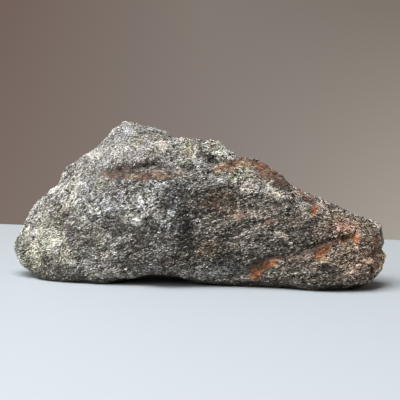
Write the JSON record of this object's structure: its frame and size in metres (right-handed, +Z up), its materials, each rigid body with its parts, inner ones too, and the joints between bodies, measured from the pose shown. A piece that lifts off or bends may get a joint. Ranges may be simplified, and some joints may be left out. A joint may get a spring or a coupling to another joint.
{
  "type": "nuummite specimen",
  "caption": "Rough natural lump of nuummite, long and low with a peak near its left end and rusty cracks, resting on a worn flat underside for display.",
  "frame": {"origin": "under the middle of the bounding box, on the surface that the stone rests on", "axes": "+X along the length from the low left tip to the blunt right end, -Y towards the broad front face, +Z up"},
  "size_m": [0.1406, 0.0596, 0.0582],
  "materials": {
    "bladed_stone": "rough broken surface of interlocked amphibole blades, grey with a satin glint on the cleavage faces, rust-stained in the cracks"
  },
  "bodies": {
    "root": {"nuummite_stone": "bladed_stone"}
  },
  "joints": []
}
